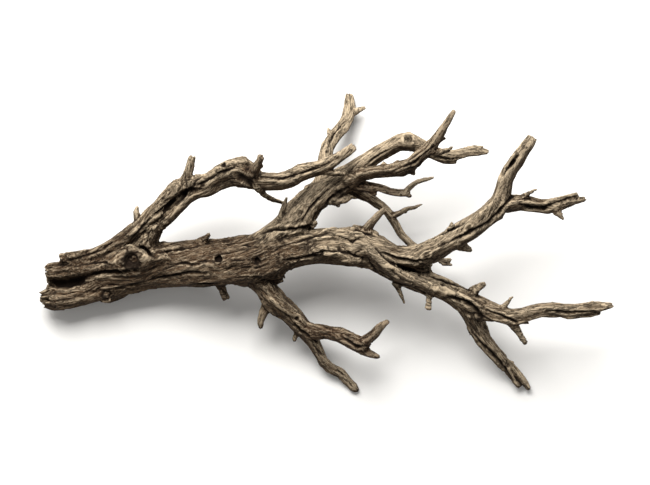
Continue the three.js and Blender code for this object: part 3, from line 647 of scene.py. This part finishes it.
# A node with its settings. An input takes a constant, or another node's output as a link.
def addNode(tree, kind, settings, inputs, output=0):
    node = tree.nodes.new(kind)
    for name, value in settings.items():
        setattr(node, name, value)
    for name, value in inputs.items():
        if isinstance(value, bpy.types.NodeSocket):
            tree.links.new(value, node.inputs[name])
        else:
            node.inputs[name].default_value = value
    return node.outputs[output] if node.outputs else node


wood = {
    "bleachedAndLit": "#BFAC90",      # sun-greyed late wood on the ridges, also the painted light and painted highlights on the side facing the key light
    "body": "#614F3B",
    # dark streaks and patches of the wood, also used as painted shade on the side turned away from the key
    # light
    "dark": "#3A2A1A",
    # dark in cracks and pits, also used as painted shade in hollows and splits
    "crevice": "#140B04",
    "reddish": "#483424",
    "roughness": 0.88,
    "ior": 1.5,
    "gloss": 0.14,              # loose dry fibres scatter nearly all the light
    "streakMm": 5,              # width of a colour streak
    "fibreMm": 1.2,             # width of a bundle of fibres, as single ones are too fine to be seen
    "patchMm": 24,              # size of the greyer and browner patches
    "crackMm": 5.5,             # spacing of the cracks
    "hairMm": 2.475,            # spacing of the hair cracks
    "pitMm": 1.8,
    "streakReliefMm": 1.6,
    "crackReliefMm": 1.4,
    "fibreReliefMm": 0.8,
}


# Bare softwood weathered grey: its fibres stand proud after the soft early wood has worn away, so it is matt.
def makeWeatheredWood():
    material = bpy.data.materials.new("weatheredSoftwood")
    material.use_nodes = True
    tree = material.node_tree
    tree.nodes.clear()
    grains = [addNode(tree, "ShaderNodeAttribute", {"attribute_name": name}, {}, "Vector")
              for name in ("grainFirst", "grainSecond")]
    pattern = {name: addNode(tree, "ShaderNodeAttribute", {"attribute_name": name}, {}, "Fac")
               for name in ("grainShare", "hollow", "splitShadeKnotsAndRot", "tone", "keyLightFacing")}

    # patterns along the grain of both limbs, faded from one to the other: how much longer than wide they are,
    # and the detail and roughness of their noise
    for name, widthMm, stretch, detail, roughness in (
            ("streaks", wood["streakMm"], 13, 3, 0.6), ("fibres", wood["fibreMm"], 15, 2, 0.6),
            ("patches", wood["patchMm"], 2.2, 2, 0.6), ("cracks", wood["crackMm"], 8, 2, 0.55),
            ("hairs", wood["hairMm"], 10, 1, 0.5), ("pits", wood["pitMm"], 2.4, 1, 0.5)):
        sides = []
        for places in grains:
            scaled = addNode(tree, "ShaderNodeVectorMath", {"operation": "MULTIPLY"},
                             {0: places, 1: (1 / (widthMm * stretch), 1 / widthMm, 1 / widthMm)})
            sides.append(addNode(tree, "ShaderNodeTexNoise", {},
                                 {"Vector": scaled, "Scale": 1.0, "Detail": detail, "Roughness": roughness}))
        pattern[name] = addNode(tree, "ShaderNodeMix", {"data_type": "FLOAT"},
                                {"Factor": pattern["grainShare"], "A": sides[0], "B": sides[1]})

    # how strongly something covers: each row is a pattern, the two values between which it fades, and how
    # strong it is at either; the rows are multiplied
    def cover(*rows):
        factor = None
        for name, low, high, least, most in rows:
            share = addNode(tree, "ShaderNodeMapRange", {},
                            {"Value": pattern[name], "From Min": low, "From Max": high,
                             "To Min": least, "To Max": most})
            factor = share if factor is None else addNode(
                tree, "ShaderNodeMath", {"operation": "MULTIPLY"}, {0: factor, 1: share})
        return factor

    # cracks and hair cracks are the thin lines where a pattern crosses its middle, on some patches only
    for name, width, low, high in (("cracks", 0.06, 0.34, 0.5), ("hairs", 0.08, 0.7, 0.46)):
        middle = addNode(tree, "ShaderNodeMath", {"operation": "SUBTRACT"}, {0: pattern[name], 1: 0.5})
        pattern[name] = addNode(tree, "ShaderNodeMath", {"operation": "ABSOLUTE"}, {0: middle})
        pattern[name] = cover((name, 0, width, 1, 0), ("patches", low, high, 0, 1))

    # colours laid over one another, from the streaked body through painted light and shade on the sides
    # facing towards and away from the key light and painted highlights on the ridges, to painted shade with
    # dirt in hollows, painted shade in splits, and cracks
    streakShade = addNode(tree, "ShaderNodeMath", {"operation": "ADD"},
                          {0: cover(("streaks", 0.36, 0.62, 0, 1)), 1: cover(("tone", 0.45, 0.75, 0, 0.35))})
    colour = linearColour(wood["dark"])
    for name, factor in (
            ("body", streakShade),
            ("bleachedAndLit", cover(("fibres", 0.47, 0.66, 0, 0.6))),
            ("dark", cover(("fibres", 0.47, 0.35, 0, 0.7))),
            ("dark", cover(("patches", 0.46, 0.68, 0, 0.35))),
            ("reddish", cover(("tone", 0.5, 0, 0, 0.85))),
            # painted shade: the side turned away from the key light is darkened
            ("dark", cover(("keyLightFacing", 0.75, 0.05, 0, 0.6))),
            # painted light: pale limbs are lightened on the side facing the key light
            ("bleachedAndLit", cover(("tone", 0.4, 0.85, 0, 0.72), ("keyLightFacing", 0.25, 0.95, 0, 1))),
            # partly wear, partly painted highlight: ridges are lightened, most on the side facing the key
            # light
            ("bleachedAndLit", cover(("hollow", -0.12, -0.75, 0, 0.85), ("keyLightFacing", 0.1, 0.8, 0, 1),
                               ("tone", 0, 0.6, 0.45, 1))),
            # painted shade with dirt: hollows are darkened, a little less on pale limbs
            ("crevice", cover(("hollow", 0.05, 0.65, 0, 0.95), ("tone", 0.45, 0.8, 1, 0.82))),
            # painted shade in the splits, with the darker wood of knots and rot patches
            ("crevice", cover(("splitShadeKnotsAndRot", 0.1, 0.7, 0, 0.93))),
            ("crevice", cover(("cracks", 0, 1, 0, 0.88))),
            ("crevice", cover(("hairs", 0, 1, 0, 0.75))),
            ("crevice", cover(("pits", 0.38, 0.32, 0, 1), ("tone", 0.65, 0.35, 0.4, 0.75)))):
        # a colour mix has its colours at sockets 6 and 7, and its result at 2
        colour = addNode(tree, "ShaderNodeMix", {"data_type": "RGBA"},
                         {0: factor, 6: colour, 7: linearColour(wood[name])}, 2)

    # relief finer than the mesh: streaks and fibres stand proud, cracks are cut in
    below = {}
    for name, cutIn, strength, reliefMm in (("streaks", False, 0.7, wood["streakReliefMm"]),
                                            ("cracks", True, 0.8, wood["crackReliefMm"]),
                                            ("fibres", False, 0.9, wood["fibreReliefMm"])):
        relief = {"Height": pattern[name], "Strength": strength, "Distance": reliefMm * mm}
        below = {"Normal": addNode(tree, "ShaderNodeBump", {"invert": cutIn}, {**relief, **below})}
    shading = {"Base Color": colour, "Roughness": wood["roughness"], "IOR": wood["ior"],
               "Specular IOR Level": wood["gloss"]}
    shader = addNode(tree, "ShaderNodeBsdfPrincipled", {}, {**shading, **below})
    addNode(tree, "ShaderNodeOutputMaterial", {}, {"Surface": shader})
    return material


# Fewer faces where the carved wood is even, and none of the loose specks that the even faces leave.
def thinOut(piece):
    thinning = piece.modifiers.new("thinning", "DECIMATE")
    thinning.ratio = branch["trianglesKept"] / (2 * len(piece.data.polygons))
    thinning.use_collapse_triangulate = True
    bpy.ops.object.modifier_apply(modifier=thinning.name)
    points = vertexPlaces(piece.data)
    points[:, 2] = np.maximum(points[:, 2], 0)
    piece.data.vertices.foreach_set("co", points.ravel())
    bpy.ops.object.mode_set(mode="EDIT")
    bpy.ops.mesh.select_mode(type="VERT")
    bpy.ops.mesh.select_all(action="DESELECT")
    bpy.ops.object.mode_set(mode="OBJECT")
    piece.data.vertices[int(np.argmax(points[:, 0]))].select = True
    bpy.ops.object.mode_set(mode="EDIT")
    bpy.ops.mesh.select_linked()
    bpy.ops.mesh.select_all(action="INVERT")
    bpy.ops.mesh.delete(type="VERT")
    bpy.ops.object.mode_set(mode="OBJECT")


piece = fineSurface()
print("fine surface:", len(piece.data.polygons), "faces")
carve(piece)
thinOut(piece)
bpy.ops.object.shade_smooth()
print("carved surface:", len(piece.data.polygons), "triangles")
piece.data.materials.append(makeWeatheredWood())
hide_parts("driftwood")
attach(piece, "root")
print("branch finished")

# Floor, light and camera.
studio = {
    "floor": "#F1EFEB",
    "cameraPlace": (0.0026, 0.0005, 5.5067),   # a 200 mm lens takes in 975 mm at the height of the limbs
    "aimAt": (0, 0, 0.08),
    "key": (-0.6, 2.5, 2.7),
    "keySize": 2.6,
    "keyPower": 300,
    "fill": (0.6, -2.0, 3.0),
    "fillSize": 3.0,
    "fillPower": 4,
    "sky": 0.3,
    "lensMm": 200,
}


def makeStudio():
    bpy.ops.object.select_all(action="DESELECT")
    bpy.ops.mesh.primitive_plane_add(size=14, location=(0, 0, -0.0005))
    floor = bpy.context.object
    floor.name = "paleFloor"
    paper = bpy.data.materials.new("mattPaper")
    paper.use_nodes = True
    shader = paper.node_tree.nodes["Principled BSDF"]
    shader.inputs["Base Color"].default_value = linearColour(studio["floor"])
    shader.inputs["Roughness"].default_value = 0.95
    floor.data.materials.append(paper)

    for name in ("key", "fill"):
        light = bpy.data.lights.new(name + "Light", "AREA")
        light.size = studio[name + "Size"]
        light.energy = studio[name + "Power"]
        lamp = bpy.data.objects.new(name + "Light", light)
        lamp.location = studio[name]
        towards = Vector(studio["aimAt"]) - Vector(studio[name])
        lamp.rotation_euler = towards.to_track_quat("-Z", "Y").to_euler()
        scene.collection.objects.link(lamp)

    world = bpy.data.worlds.new("softSky")
    world.use_nodes = True
    world.node_tree.nodes["Background"].inputs["Color"].default_value = (1, 1, 1, 1)
    world.node_tree.nodes["Background"].inputs["Strength"].default_value = studio["sky"]
    scene.world = world

    lens = bpy.data.cameras.new("overhead")
    lens.lens = studio["lensMm"]
    lens.sensor_width = 36
    lens.clip_end = 50
    camera = bpy.data.objects.new("overhead", lens)
    camera.location = studio["cameraPlace"]
    scene.collection.objects.link(camera)
    scene.camera = camera
    scene.view_settings.view_transform = "Standard"


makeStudio()
print("studio ready")
